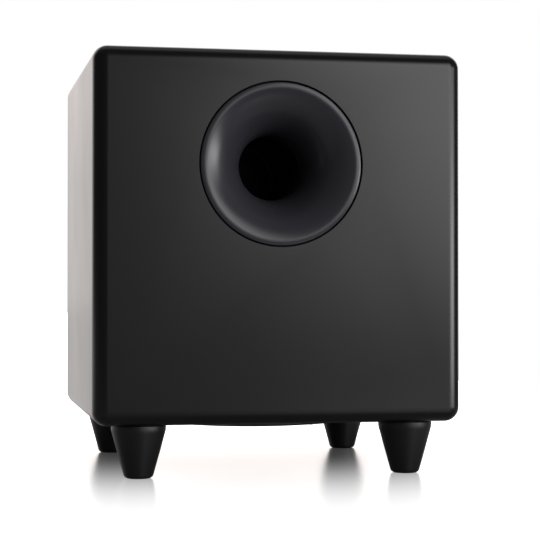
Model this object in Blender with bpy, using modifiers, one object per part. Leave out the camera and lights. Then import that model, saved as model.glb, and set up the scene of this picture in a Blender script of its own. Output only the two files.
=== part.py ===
"""Powered subwoofer: a cube cabinet on four tapered feet, with a front port,
an eight-inch driver that fires at the floor and a plate amplifier at the rear.

Metres, +Z up, front facing -Y. The origin is on the floor, under the centre
of the whole object's footprint.
"""

import bpy
import bmesh
from math import atan2, cos, degrees, pi, radians, sin
from mathutils import Matrix, Vector

MM = 0.001

# ---- driving dimensions ---------------------------------------------------
WIDTH = 317.5 * MM
HEIGHT = 317.5 * MM
DEPTH = 300.0 * MM
EDGE_RADIUS = 12.7 * MM
WALL = 15.0 * MM
FOOT_HEIGHT = 46.0 * MM
REAR_REACH = 14.0 * MM          # how far the knobs stand behind the cabinet
GAP = 0.3 * MM                  # between pieces that touch

FRONT_Y = -(DEPTH + REAR_REACH) / 2
REAR_Y = FRONT_Y + DEPTH
CENTRE_Y = (FRONT_Y + REAR_Y) / 2
UNDERSIDE = FOOT_HEIGHT
TOP = UNDERSIDE + HEIGHT

FOOT_X = 117.0 * MM
FOOT_INSET = 34.5 * MM          # foot centre from the front or rear face
FOOT_TOP_RADIUS = 23.3 * MM
FOOT_BOTTOM_RADIUS = 11.9 * MM
FOOT_COLLAR = 4.8 * MM
FOOT_ROUNDING = 4.7 * MM

PORT_Z = UNDERSIDE + 220.0 * MM
PORT_FLANGE_RADIUS = 69.3 * MM
PORT_REBATE_RADIUS = 70.2 * MM
PORT_CREST_RADIUS = 65.5 * MM
CREST_DEPTH = 0.1 * MM
LIP_BOW = 9.5 * MM
LIP_OUT, LIP_IN = 19, 15
FLARE_REACH = 24 * MM
THROAT_REACH = 18 * MM
FLANGE_BACK = 3.0 * MM
PORT_NECK = 61.5 * MM
PORT_THROAT_RADIUS = 28.4 * MM
PORT_THROAT_DEPTH = 52.0 * MM
PORT_TUBE_START = 57.0 * MM
PORT_TUBE_END = 200.0 * MM
PORT_END_FLARE = 12.0 * MM
PORT_SKIN = 2.4 * MM

AMP_WIDTH = 210.0 * MM
AMP_HEIGHT = 250.0 * MM
AMP_PLATE = 3.0 * MM
AMP_SEAL = 1.0 * MM
AMP_BORDER = 12.0 * MM          # plate that laps over the rear panel
AMP_Z = UNDERSIDE + HEIGHT / 2
REBATE_DEPTH = AMP_PLATE + AMP_SEAL + 2 * GAP
PLATE_BACK_Y = REAR_Y - AMP_PLATE

CONTROL_Z = AMP_Z + 98.0 * MM   # row of knobs
SIGNAL_Z = AMP_Z + 56.0 * MM    # row of jacks
MAINS_Z = AMP_Z - 86.0 * MM     # row of mains parts

SCREW_COUNT = 8
SCREW_CIRCLE = 99.0 * MM
CUTOUT_RADIUS = 95.0 * MM

# ---- collections ----------------------------------------------------------
for old in list(bpy.data.objects):
    bpy.data.objects.remove(old, do_unlink=True)

PARTS = bpy.data.collections.new("subwoofer")
CUTTERS = bpy.data.collections.new("cutters")
bpy.context.scene.collection.children.link(PARTS)
bpy.context.scene.collection.children.link(CUTTERS)


# ---- materials ------------------------------------------------------------
def material(name, colour, roughness, metallic=0.0):
    mat = bpy.data.materials.new(name)
    mat.use_nodes = True
    shader = mat.node_tree.nodes["Principled BSDF"]
    shader.inputs["Base Color"].default_value = (*colour, 1.0)
    shader.inputs["Roughness"].default_value = roughness
    shader.inputs["Metallic"].default_value = metallic
    mat.diffuse_color = (*colour, 1.0)
    return mat


PAINT = material("satin_black_paint", (0.012, 0.012, 0.013), 0.45)
PORT_PLASTIC = material("port_plastic", (0.016, 0.016, 0.018), 0.35)
CARD = material("tube_card", (0.05, 0.045, 0.04), 0.9)
FOOT_RUBBER = material("foot_rubber", (0.010, 0.010, 0.010), 0.55)
ZINC = material("zinc_steel", (0.55, 0.55, 0.53), 0.35, 1.0)
BLACK_STEEL = material("black_steel", (0.02, 0.02, 0.02), 0.4, 0.6)
SURROUND_RUBBER = material("surround_rubber", (0.012, 0.012, 0.012), 0.6)
CONE_POLYMER = material("cone_polymer", (0.020, 0.020, 0.021), 0.5)
SPIDER_CLOTH = material("spider_cloth", (0.55, 0.40, 0.18), 0.9)
COPPER = material("copper_winding", (0.72, 0.35, 0.18), 0.35, 1.0)
FERRITE = material("ferrite", (0.035, 0.035, 0.037), 0.7)
PLATE_PAINT = material("plate_paint", (0.018, 0.018, 0.019), 0.5, 0.3)
FOAM = material("foam_seal", (0.02, 0.02, 0.02), 0.95)
BOARD = material("circuit_board", (0.02, 0.16, 0.07), 0.5)
ALUMINIUM = material("aluminium", (0.75, 0.75, 0.76), 0.4, 1.0)
BLACK_PLASTIC = material("black_plastic", (0.015, 0.015, 0.015), 0.4)
GREY_PLASTIC = material("grey_plastic", (0.10, 0.10, 0.10), 0.5)
NICKEL = material("nickel", (0.80, 0.78, 0.72), 0.2, 1.0)
LENS = material("lamp_lens", (0.10, 0.45, 0.12), 0.2)
WIRE = material("wire_sleeve", (0.35, 0.03, 0.03), 0.5)


# ---- modelling helpers ----------------------------------------------------
def place(name, mesh, mat=None, location=(0, 0, 0), rotation=(0, 0, 0), parent=None):
    """Put a mesh in the model, or among the cutters when it has no material."""
    obj = bpy.data.objects.new(name, mesh)
    if mat:
        mesh.materials.append(mat)
        PARTS.objects.link(obj)
    else:
        CUTTERS.objects.link(obj)
        obj.hide_render = True
        obj.display_type = "WIRE"
    obj.location = location
    obj.rotation_euler = rotation
    obj.parent = parent
    return obj


def hinge_empty(name, location):
    """An empty on a joint's axis, which carries the moving piece."""
    empty = bpy.data.objects.new(name, None)
    empty.location = location
    empty.empty_display_size = 0.01
    PARTS.objects.link(empty)
    return empty


def boxes_mesh(name, spans):
    """One mesh of cuboids, each given as ((low x, y, z), (high x, y, z))."""
    mesh = bpy.data.meshes.new(name)
    bm = bmesh.new()
    for low, high in spans:
        low, high = Vector(low), Vector(high)
        size = high - low
        matrix = Matrix.Translation((low + high) / 2) @ Matrix.Diagonal((*size, 1.0))
        bmesh.ops.create_cube(bm, size=1.0, matrix=matrix)
    bm.to_mesh(mesh)
    bm.free()
    return mesh


def rods_mesh(name, rods, facing, segments=24):
    """One mesh of cylinders, each given as (centre, radius, length)."""
    mesh = bpy.data.meshes.new(name)
    bm = bmesh.new()
    for centre, radius, length in rods:
        bmesh.ops.create_cone(bm, cap_ends=True, segments=segments, radius1=radius,
                              radius2=radius, depth=length,
                              matrix=Matrix.Translation(centre) @ facing)
    bm.to_mesh(mesh)
    bm.free()
    return mesh


UP = Matrix.Identity(4)
TO_REAR = Matrix.Rotation(-pi / 2, 4, "X")       # local +Z becomes world +Y
TO_FRONT = Matrix.Rotation(pi / 2, 4, "X")       # local +Z becomes world -Y


def box(name, low, high, mat):
    return place(name, boxes_mesh(name, [(low, high)]), mat)


def signed_area(points):
    pairs = zip(points, points[1:] + points[:1])
    return sum(a[0] * b[1] - b[0] * a[1] for a, b in pairs) / 2


def turned(name, profile, mat, origin, facing=UP, steps=32):
    """Turn a profile of (radius, height) about its axis.

    A profile that starts and ends on the axis makes a solid, and any other
    one is closed into a ring.
    """
    points = list(profile)
    if signed_area(points) > 0:
        points.reverse()
    on_axis = [i for i, point in enumerate(points) if point[0] == 0]
    count = len(points)
    if on_axis:
        first = next(i for i in on_axis if points[(i - 1) % count][0] == 0)
        points = points[first:] + points[:first]
        edges = [(i, i + 1) for i in range(count - 1)]
    else:
        edges = [(i, (i + 1) % count) for i in range(count)]
    mesh = bpy.data.meshes.new(name)
    mesh.from_pydata([(radius, 0, height) for radius, height in points], edges, [])
    obj = place(name, mesh, mat, origin, facing.to_euler())
    turn = obj.modifiers.new("Turn", "SCREW")
    turn.axis = "Z"
    turn.steps = steps
    turn.render_steps = steps
    turn.use_merge_vertices = True
    turn.merge_threshold = 0.00001
    return obj


def bevel(obj, width, segments=2, angle=30):
    mod = obj.modifiers.new("Round", "BEVEL")
    mod.width = width
    mod.segments = segments
    mod.limit_method = "ANGLE"
    mod.angle_limit = radians(angle)


def boolean(obj, cutter, operation="DIFFERENCE"):
    mod = obj.modifiers.new("Cut", "BOOLEAN")
    mod.operation = operation
    mod.solver = "EXACT"
    mod.object = cutter


def cut_boxes(obj, name, spans):
    boolean(obj, place(name, boxes_mesh(name, spans)))


def cut_rods(obj, name, rods, facing, segments=24):
    boolean(obj, place(name, rods_mesh(name, rods, facing, segments)))


def outline_prism(name, points, thickness):
    """A flat outline in XY made solid along Z, as a mesh of its own."""
    curve = bpy.data.curves.new(name, "CURVE")
    curve.dimensions = "2D"
    curve.fill_mode = "BOTH"
    curve.extrude = thickness / 2
    spline = curve.splines.new("POLY")
    spline.points.add(len(points) - 1)
    for point, (x, y) in zip(spline.points, points):
        point.co = (x, y, 0, 1)
    spline.use_cyclic_u = True
    guide = bpy.data.objects.new(name, curve)
    CUTTERS.objects.link(guide)
    return curve_to_mesh(guide)


def curve_to_mesh(guide):
    """The curve object's welded mesh; the curve object is removed."""
    bpy.context.view_layer.update()
    graph = bpy.context.evaluated_depsgraph_get()
    mesh = bpy.data.meshes.new_from_object(guide.evaluated_get(graph))
    bm = bmesh.new()
    bm.from_mesh(mesh)
    bmesh.ops.remove_doubles(bm, verts=bm.verts, dist=0.00001)
    bmesh.ops.recalc_face_normals(bm, faces=bm.faces)
    bm.to_mesh(mesh)
    bm.free()
    bpy.data.objects.remove(guide, do_unlink=True)
    return mesh


def arc(centre, radius, start, end, steps):
    """Points of an arc about centre, between two angles in degrees."""
    for i in range(steps + 1):
        angle = radians(start + (end - start) * i / steps)
        yield (centre[0] + radius * cos(angle), centre[1] + radius * sin(angle))


# ---- cabinet --------------------------------------------------------------
def panel(name, low, high):
    """One wall of the cabinet: the rounded block, cut to the wall's slab."""
    half = WIDTH / 2
    block = [((-half, FRONT_Y, UNDERSIDE), (half, REAR_Y, TOP))]
    obj = place(name, boxes_mesh(name, block), PAINT)
    bevel(obj, EDGE_RADIUS, segments=5)
    slab = place(name + "_slab", boxes_mesh(name + "_slab", [(low, high)]))
    boolean(obj, slab, "INTERSECT")
    return obj


def screw_angles():
    for i in range(SCREW_COUNT):
        yield radians(360 / SCREW_COUNT * (i + 0.5))


def foot_places():
    for side, x in (("left", -FOOT_X), ("right", FOOT_X)):
        for end, y in (("front", FRONT_Y + FOOT_INSET), ("rear", REAR_Y - FOOT_INSET)):
            yield f"{end}_{side}", x, y


def cabinet():
    """Front and rear panels span the full face; the other four sit between."""
    over = 10 * MM
    out_x = WIDTH / 2 + over
    in_x = WIDTH / 2 - WALL
    front = FRONT_Y + WALL
    rear = REAR_Y - WALL
    floor = UNDERSIDE + WALL
    ceiling = TOP - WALL
    low_z, high_z = UNDERSIDE - over, TOP + over
    baffle = panel("front_baffle", (-out_x, FRONT_Y - over, low_z), (out_x, front, high_z))
    back = panel("rear_panel", (-out_x, rear, low_z), (out_x, REAR_Y + over, high_z))
    panel("left_panel", (-out_x, front + GAP, low_z), (-in_x, rear - GAP, high_z))
    panel("right_panel", (in_x, front + GAP, low_z), (out_x, rear - GAP, high_z))
    panel("top_panel", (-in_x + GAP, front + GAP, ceiling), (in_x - GAP, rear - GAP, high_z))
    base = panel("bottom_panel", (-in_x + GAP, front + GAP, low_z), (in_x - GAP, rear - GAP, floor))
    cut_rods(baffle, "port_rebate", [((0, FRONT_Y, PORT_Z), PORT_REBATE_RADIUS, 2 * 3.6 * MM)],
             TO_REAR, 36)
    cut_rods(baffle, "port_hole", [((0, FRONT_Y, PORT_Z), 63 * MM, 4 * WALL)], TO_REAR, 36)
    cut_rods(base, "driver_hole", [((0, CENTRE_Y, UNDERSIDE), CUTOUT_RADIUS, 4 * WALL)], UP, 36)
    pilots = [((x, y, UNDERSIDE), 2.3 * MM, 26 * MM) for _, x, y in foot_places()]
    pilots += [((SCREW_CIRCLE * cos(a), CENTRE_Y + SCREW_CIRCLE * sin(a), UNDERSIDE),
                1.9 * MM, 20 * MM) for a in screw_angles()]
    cut_rods(base, "pilot_holes", pilots, UP, 8)
    half_w, half_h = AMP_WIDTH / 2 + GAP, AMP_HEIGHT / 2 + GAP
    rebate = [((-half_w, REAR_Y - REBATE_DEPTH, AMP_Z - half_h), (half_w, REAR_Y + over, AMP_Z + half_h))]
    cut_boxes(back, "plate_rebate", rebate)
    half_w, half_h = AMP_WIDTH / 2 - AMP_BORDER, AMP_HEIGHT / 2 - AMP_BORDER
    hole = [((-half_w, rear - over, AMP_Z - half_h), (half_w, REAR_Y + over, AMP_Z + half_h))]
    cut_boxes(back, "plate_hole", hole)


# ---- feet -----------------------------------------------------------------
def foot_profile():
    """A cylinder collar over a cone, with a screw recess from below."""
    shoulder = FOOT_HEIGHT - GAP - FOOT_COLLAR
    lean = atan2(FOOT_TOP_RADIUS - FOOT_BOTTOM_RADIUS, shoulder)
    rounding = [(FOOT_BOTTOM_RADIUS - FOOT_ROUNDING, FOOT_ROUNDING), FOOT_ROUNDING]
    lower = list(arc(*rounding, -90, -degrees(lean), 2))
    return [(2.6 * MM, FOOT_HEIGHT - GAP), (FOOT_TOP_RADIUS - 1 * MM, FOOT_HEIGHT - GAP),
            (FOOT_TOP_RADIUS, FOOT_HEIGHT - GAP - 1 * MM), (FOOT_TOP_RADIUS, shoulder + 1 * MM),
            (FOOT_TOP_RADIUS - 0.5 * MM, shoulder), *reversed(lower),
            (5.5 * MM, 0), (5.5 * MM, 30 * MM), (2.6 * MM, 30 * MM)]


def feet():
    profile = foot_profile()
    shank, head = 2.0 * MM, 4.4 * MM
    bolt = [(0, 26.7 * MM), (head, 26.7 * MM), (head, 29.7 * MM), (shank, 29.7 * MM),
            (shank, FOOT_HEIGHT + 12 * MM), (0, FOOT_HEIGHT + 12 * MM)]
    for name, x, y in foot_places():
        turned("foot_" + name, profile, FOOT_RUBBER, (x, y, 0), UP, 20)
        turned("foot_screw_" + name, bolt, ZINC, (x, y, 0), UP, 8)


# ---- front port -----------------------------------------------------------
def lip_curve(band_steps):
    """The lip from the flange's rim over its crest, as (radius, depth)."""
    rise = sin(radians(LIP_OUT))
    outer = (PORT_FLANGE_RADIUS - PORT_CREST_RADIUS - LIP_BOW * rise) / (1 - rise)
    middle = (PORT_FLANGE_RADIUS - outer,
              CREST_DEPTH + LIP_BOW - (LIP_BOW - outer) * cos(radians(LIP_OUT)))
    rim = list(arc(middle, outer, 0, LIP_OUT - 90, 2))
    crest = (PORT_CREST_RADIUS, CREST_DEPTH + LIP_BOW)
    return rim + list(arc(crest, LIP_BOW, LIP_OUT - 90, -90 - LIP_IN, band_steps))[1:]


def flare_curve(start, steps):
    """Inner line of the flare, from the lip to the throat, as (radius, depth)."""
    lean = radians(LIP_IN)
    start = Vector(start)
    end = Vector((PORT_THROAT_RADIUS, PORT_THROAT_DEPTH))
    first = start + FLARE_REACH * Vector((-cos(lean), sin(lean)))
    second = end - THROAT_REACH * Vector((0, 1))
    for i in range(steps + 1):
        t = i / steps
        s = 1 - t
        yield s**3 * start + 3 * s * s * t * first + 3 * s * t * t * second + t**3 * end


def flare_profile():
    """The flare's closed section, with its depth counted as negative height."""
    lip = lip_curve(3)
    inner = [tuple(p) for p in flare_curve(lip[-1], 7)]
    outer = []
    for before, here, after in zip(inner, inner[1:], inner[2:] + inner[-1:]):
        run = (Vector(after) - Vector(before)).normalized()
        outer.append((here[0] + PORT_SKIN * run.y, here[1] - PORT_SKIN * run.x))
    outer = [p for p in outer if p[0] < PORT_NECK and p[1] > FLANGE_BACK + 1 * MM]
    sleeve_end = PORT_TUBE_START + 10 * MM
    loop = lip + inner[1:] + [(PORT_THROAT_RADIUS, sleeve_end)]
    loop += [(PORT_THROAT_RADIUS + PORT_SKIN, sleeve_end)]
    loop += list(reversed(outer))
    loop += [(PORT_NECK, FLANGE_BACK), (PORT_FLANGE_RADIUS, FLANGE_BACK)]
    return [(radius, -depth) for radius, depth in loop]


def port():
    """Front flare, card tube and inner flare on one horizontal axis."""
    origin = (0, FRONT_Y, PORT_Z)
    turned("port_flare", flare_profile(), PORT_PLASTIC, origin, TO_FRONT, 36)
    bore = PORT_THROAT_RADIUS + PORT_SKIN + GAP
    tube = [(bore, -PORT_TUBE_START), (bore + 2 * MM, -PORT_TUBE_START),
            (bore + 2 * MM, -PORT_TUBE_END), (bore, -PORT_TUBE_END)]
    turned("port_tube", tube, CARD, origin, TO_FRONT, 24)
    start = PORT_TUBE_END - 12 * MM
    centre_r = PORT_THROAT_RADIUS + PORT_END_FLARE
    inner = list(arc((centre_r, PORT_TUBE_END + 1 * MM), PORT_END_FLARE, 180, 90, 3))
    outer = list(arc((centre_r, PORT_TUBE_END + 1 * MM), PORT_END_FLARE - PORT_SKIN, 90, 180, 2))
    loop = [(PORT_THROAT_RADIUS, start), *inner, *outer, (PORT_THROAT_RADIUS + PORT_SKIN, start)]
    turned("port_inner_flare", [(r, -d) for r, d in loop], PORT_PLASTIC, origin, TO_FRONT, 24)


# ---- driver ---------------------------------------------------------------
def millimetres(points):
    return [(radius * MM, height * MM) for radius, height in points]


def driver_frame(origin):
    """Cast frame: mounting flange, windowed wall and spider shelf."""
    section = [(28.5, 52), (62, 52), (64.5, 50), (64.5, 46.5), (92, 6), (94.2, 2), (94.2, -0.3),
               (104.5, -0.3), (104.5, -2.8), (92.9, -2.8), (92.9, -0.3), (86, -0.3), (86, 1.7),
               (90.5, 4.5), (63, 44.5), (56, 44.5), (56, 49.8), (28.5, 49.8)]
    frame = turned("woofer_frame", millimetres(section), BLACK_STEEL, origin, UP, 36)
    windows = bpy.data.meshes.new("frame_windows")
    bm = bmesh.new()
    low, high = 10 * MM, 41 * MM
    for i in range(6):
        spin = Matrix.Rotation(radians(60 * i), 4, "Z")
        middle = Matrix.Translation((85 * MM, 0, (low + high) / 2))
        size = Matrix.Diagonal((60 * MM, 46 * MM, high - low, 1))
        bmesh.ops.create_cube(bm, size=1.0, matrix=spin @ middle @ size)
    bm.to_mesh(windows)
    bm.free()
    boolean(frame, place("frame_windows", windows, None, origin))
    holes = [((SCREW_CIRCLE * cos(a), CENTRE_Y + SCREW_CIRCLE * sin(a), UNDERSIDE),
              2.2 * MM, 12 * MM) for a in screw_angles()]
    cut_rods(frame, "frame_holes", holes, UP, 8)


def spider_section():
    """Corrugated ring between the voice coil and the frame's shelf."""
    inner, outer, height = 25.9, 61.5, 43.0
    waves = 4
    steps = waves * 2
    start, end = 30.0, 56.0
    line = [(inner, height)]
    for i in range(steps + 1):
        radius = start + (end - start) * i / steps
        line.append((radius, height + (1.2 if i % 2 else -1.2)))
    line.append((outer, height))
    return line + [(radius, level + 0.7) for radius, level in reversed(line)]


def surround_section():
    """Half-roll rubber edge with a flat glued on each side."""
    centre, level = (79.6, -0.6), -0.6
    outer = list(arc(centre, 6.4, 0, -180, 6))
    inner = list(arc(centre, 5.5, -180, 0, 6))
    return [(92.6, level), (92.6, -1.5), (86.5, -1.5), *outer[1:-1], (72.7, -1.5), (69.5, -1.5),
            (69.5, level), *inner]


def driver():
    """Eight-inch driver facing down through the bottom panel."""
    origin = (0, CENTRE_Y, UNDERSIDE)
    driver_frame(origin)
    seal = [(92.6, -1.8), (92.6, -5.0), (91.7, -5.9), (88, -5.9), (87.3, -5.2), (87.3, -1.8)]
    turned("woofer_trim_ring", millimetres(seal), SURROUND_RUBBER, origin, UP, 36)
    turned("woofer_surround", millimetres(surround_section()), SURROUND_RUBBER, origin, UP, 36)
    turned("woofer_spider", millimetres(spider_section()), SPIDER_CLOTH, origin, UP, 24)
    top_plate = [(27.4, 52.3), (50, 52.3), (50, 60.3), (27.4, 60.3)]
    turned("woofer_top_plate", millimetres(top_plate), ZINC, origin, UP, 24)
    magnet = [(34, 60.6), (58.8, 60.6), (60, 61.8), (60, 78.8), (58.8, 80), (34, 80)]
    turned("woofer_magnet", millimetres(magnet), FERRITE, origin, UP, 24)
    yoke = [(8, 88.3), (50, 88.3), (50, 80.3), (24.2, 80.3), (24.2, 50), (8, 50)]
    turned("woofer_yoke", millimetres(yoke), ZINC, origin, UP, 24)
    travel = hinge_empty("cone_axis", origin)
    cone = [(72.8, 0.7), (72.8, -0.3), (68, -0.3), (27, 33), (25.9, 33), (25.9, 35.2),
            (27.2, 35.2), (68.6, 0.7)]
    cap_rim, cap_rise, cap_level = 31.0, 10.0, 29.2
    ball = (cap_rim**2 + cap_rise**2) / (2 * cap_rise)
    reach = degrees(atan2(cap_rim, ball - cap_rise))
    middle = (0, cap_level - cap_rise + ball)
    cap = list(arc(middle, ball, -90, -90 + reach, 4))
    cap += list(arc(middle, ball - 0.8, -90 + reach, -90, 4))
    cap = [(0 if radius < 0.001 else radius, height) for radius, height in cap]
    coil = [(25.6, 66), (25.6, 64), (26.6, 64), (26.6, 52), (25.6, 52), (25.6, 30), (25, 30), (25, 66)]
    moving = (("woofer_cone", cone, CONE_POLYMER, 32), ("woofer_dust_cap", cap, CONE_POLYMER, 20),
              ("woofer_voice_coil", coil, COPPER, 20))
    for name, section, mat, steps in moving:
        turned(name, millimetres(section), mat, (0, 0, 0), UP, steps).parent = travel
    head, shank = 3.6 * MM, 1.6 * MM
    screw = [(0, 9 * MM), (shank, 9 * MM), (shank, -3.1 * MM), (head, -3.1 * MM),
             (head, -4.3 * MM), (head * 0.6, -5.2 * MM), (0, -5.2 * MM)]
    for i, a in enumerate(screw_angles(), 1):
        spot = (SCREW_CIRCLE * cos(a), CENTRE_Y + SCREW_CIRCLE * sin(a), UNDERSIDE)
        turned(f"woofer_screw_{i}", screw, BLACK_STEEL, spot, UP, 8)
    wall = CENTRE_Y + 74 * MM
    terminal = box("woofer_terminal", (-11 * MM, wall, UNDERSIDE + 35 * MM),
                   (11 * MM, wall + 3 * MM, UNDERSIDE + 49 * MM), BLACK_PLASTIC)
    bevel(terminal, 0.6 * MM, 1)


# ---- amplifier ------------------------------------------------------------
KNOB_X = {"volume": 62.0 * MM, "crossover": 22.0 * MM}
PHASE_X = -18.0 * MM
MODE_X = -58.0 * MM
JACK_X = {"left": 71.0 * MM, "right": 53.0 * MM}
LAMP_X = -58.0 * MM
INLET_X = -62.0 * MM
ROCKER_X = -14.0 * MM
ROCKER_SWING = 20.0                                # degrees between off and on
INLET_LOW, INLET_HIGH = -13.0 * MM, 19.0 * MM      # inlet body about the mains row


def amp_plate():
    """Steel plate with the cut-outs of everything fitted in it."""
    half_w, half_h = AMP_WIDTH / 2, AMP_HEIGHT / 2
    plate = box("amp_plate", (-half_w, PLATE_BACK_Y, AMP_Z - half_h),
                (half_w, REAR_Y, AMP_Z + half_h), PLATE_PAINT)
    rods = [((x, REAR_Y, CONTROL_Z), 3.8 * MM, 20 * MM) for x in KNOB_X.values()]
    rods += [((x, REAR_Y, SIGNAL_Z), 4.9 * MM, 20 * MM) for x in JACK_X.values()]
    rods += [((LAMP_X, REAR_Y, SIGNAL_Z), 2.8 * MM, 20 * MM)]
    cut_rods(plate, "plate_round_holes", rods, TO_REAR, 16)
    near, far = REAR_Y - 10 * MM, REAR_Y + 10 * MM
    slots = [((x - 5.6 * MM, near, CONTROL_Z - 2.2 * MM), (x + 5.6 * MM, far, CONTROL_Z + 2.2 * MM))
             for x in (PHASE_X, MODE_X)]
    slots += [((INLET_X - 14.4 * MM, near, MAINS_Z + INLET_LOW - 0.4 * MM),
               (INLET_X + 14.4 * MM, far, MAINS_Z + INLET_HIGH + 0.4 * MM))]
    slots += [((ROCKER_X - 7.2 * MM, near, MAINS_Z - 10.2 * MM),
               (ROCKER_X + 7.2 * MM, far, MAINS_Z + 10.2 * MM))]
    cut_boxes(plate, "plate_slots", slots)
    inner_w, inner_h = half_w - AMP_BORDER + 2 * MM, half_h - AMP_BORDER + 2 * MM
    seal_y = PLATE_BACK_Y - GAP
    seal = box("amp_seal", (-half_w + 1 * MM, seal_y - AMP_SEAL, AMP_Z - half_h + 1 * MM),
               (half_w - 1 * MM, seal_y, AMP_Z + half_h - 1 * MM), FOAM)
    cut_boxes(seal, "seal_hole", [((-inner_w, seal_y - 5 * MM, AMP_Z - inner_h),
                                   (inner_w, seal_y + 5 * MM, AMP_Z + inner_h))])


def knobs():
    """Two rotary controls: pot behind the plate, knob on its shaft."""
    for name, x in KNOB_X.items():
        origin = (x, REAR_Y, CONTROL_Z)
        back = -AMP_PLATE - GAP
        half = 8 * MM
        pot = box(f"{name}_pot", (x - half, REAR_Y + back - 9 * MM, CONTROL_Z - half),
                  (x + half, REAR_Y + back, CONTROL_Z + half), GREY_PLASTIC)
        bush = rods_mesh(f"{name}_bush", [((x, REAR_Y - 1.5 * MM, CONTROL_Z), 3.4 * MM, 5 * MM),
                                          ((x, REAR_Y, CONTROL_Z), 2.9 * MM, 16 * MM)], TO_REAR, 12)
        boolean(pot, place(f"{name}_bush", bush), "UNION")
        axis = hinge_empty(f"{name}_axis", origin)
        rim, top, foot = 11 * MM, REAR_REACH, 1.2 * MM
        section = [(0, top), (rim - 2.5 * MM, top), (rim - 1.5 * MM, top - 1 * MM), (rim, 4.5 * MM),
                   (rim + 0.8 * MM, 3.2 * MM), (rim + 0.8 * MM, foot), (3.3 * MM, foot),
                   (3.3 * MM, 9 * MM), (0, 9 * MM)]
        knob = turned(f"{name}_knob", section, BLACK_PLASTIC, (0, 0, 0), TO_REAR, 24)
        knob.parent = axis
        mark = rods_mesh(f"{name}_mark", [((0, REAR_REACH, 7.5 * MM), 1.1 * MM, 1 * MM)], TO_REAR, 10)
        mark_cutter = place(f"{name}_mark", mark)
        mark_cutter.parent = axis
        boolean(knob, mark_cutter)


def slide_switches():
    """Two slide switches: a grooved body behind the plate and a lever in it."""
    for name, x, rest in (("phase", PHASE_X, -2.0 * MM), ("mode", MODE_X, 0.0)):
        top = REAR_Y - AMP_PLATE - GAP
        body = box(f"{name}_switch_body", (x - 9 * MM, top - 8 * MM, CONTROL_Z - 4 * MM),
                   (x + 9 * MM, top, CONTROL_Z + 4 * MM), GREY_PLASTIC)
        cut_boxes(body, f"{name}_groove", [((x - 5.2 * MM, top - 5 * MM, CONTROL_Z - 1.9 * MM),
                                            (x + 5.2 * MM, top + 5 * MM, CONTROL_Z + 1.9 * MM))])
        lever = place(f"{name}_lever", boxes_mesh(f"{name}_lever", [
            ((-1.9 * MM, -4.7 * MM - AMP_PLATE, -1.5 * MM), (1.9 * MM, 2.6 * MM, 1.5 * MM))]),
            BLACK_PLASTIC, (x + rest, REAR_Y, CONTROL_Z))
        bevel(lever, 0.4 * MM, 1)


def jacks_and_lamp():
    """Two phono jacks with hollow barrels, and the status lamp."""
    barrel = [(1.7, 9.5), (4.1, 9.5), (4.1, 2.6), (6, 2.4), (6, 0.3), (4.5, 0.3), (4.5, -12),
              (1, -12), (1, 1.5), (1.7, 1.5)]
    for name, x in JACK_X.items():
        turned(f"line_jack_{name}", millimetres(barrel), NICKEL, (x, REAR_Y, SIGNAL_Z), TO_REAR, 16)
    dome = [(0, 2.4), (1.4, 2.0), (2.4, 0.8), (2.5, 0), (2.5, -8), (0, -8)]
    turned("status_lamp", millimetres(dome), LENS, (LAMP_X, REAR_Y, SIGNAL_Z), TO_REAR, 12)


def mains_inlet():
    """Appliance inlet with three pins in its cavity and a fuse drawer below."""
    low, high = MAINS_Z + INLET_LOW, MAINS_Z + INLET_HIGH
    side, face = 14.0 * MM, 2.0 * MM
    spans = [((INLET_X - side, REAR_Y - 24 * MM, low), (INLET_X + side, REAR_Y + face, high))]
    body = place("mains_inlet", boxes_mesh("mains_inlet", spans), BLACK_PLASTIC)
    flange = boxes_mesh("inlet_flange", [((INLET_X - 25 * MM, REAR_Y + GAP, low - 2.5 * MM),
                                          (INLET_X + 25 * MM, REAR_Y + face, high + 2.5 * MM))])
    boolean(body, place("inlet_flange", flange), "UNION")
    cavity_low = MAINS_Z - 1 * MM
    cut_boxes(body, "inlet_cavity", [((INLET_X - 12.2 * MM, REAR_Y - 15 * MM, cavity_low),
                                      (INLET_X + 12.2 * MM, REAR_Y + 9 * MM, cavity_low + 17 * MM))])
    pins = []
    for dx, dz in ((-7, 6.0), (0, 10.5), (7, 6.0)):
        x, z = INLET_X + dx * MM, cavity_low + dz * MM
        pins.append(((x - 1 * MM, REAR_Y - 17 * MM, z - 2 * MM), (x + 1 * MM, REAR_Y - 5 * MM, z + 2 * MM)))
    boolean(body, place("inlet_pins", boxes_mesh("inlet_pins", pins)), "UNION")
    slot = ((INLET_X - 10.3 * MM, REAR_Y - 20 * MM, low + 1.7 * MM),
            (INLET_X + 10.3 * MM, REAR_Y + 9 * MM, low + 9.8 * MM))
    cut_boxes(body, "fuse_slot", [slot])
    origin = Vector((INLET_X, REAR_Y + face, low + 5.75 * MM))
    drawer = boxes_mesh("fuse_drawer", [((-10 * MM, -21 * MM, -3.7 * MM), (10 * MM, 1 * MM, 3.7 * MM))])
    drawer = place("fuse_drawer", drawer, BLACK_PLASTIC, origin)
    pocket = boxes_mesh("fuse_pocket", [((-7 * MM, -19 * MM, -2.4 * MM), (7 * MM, -4 * MM, 9 * MM))])
    boolean(drawer, place("fuse_pocket", pocket, None, origin))


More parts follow.
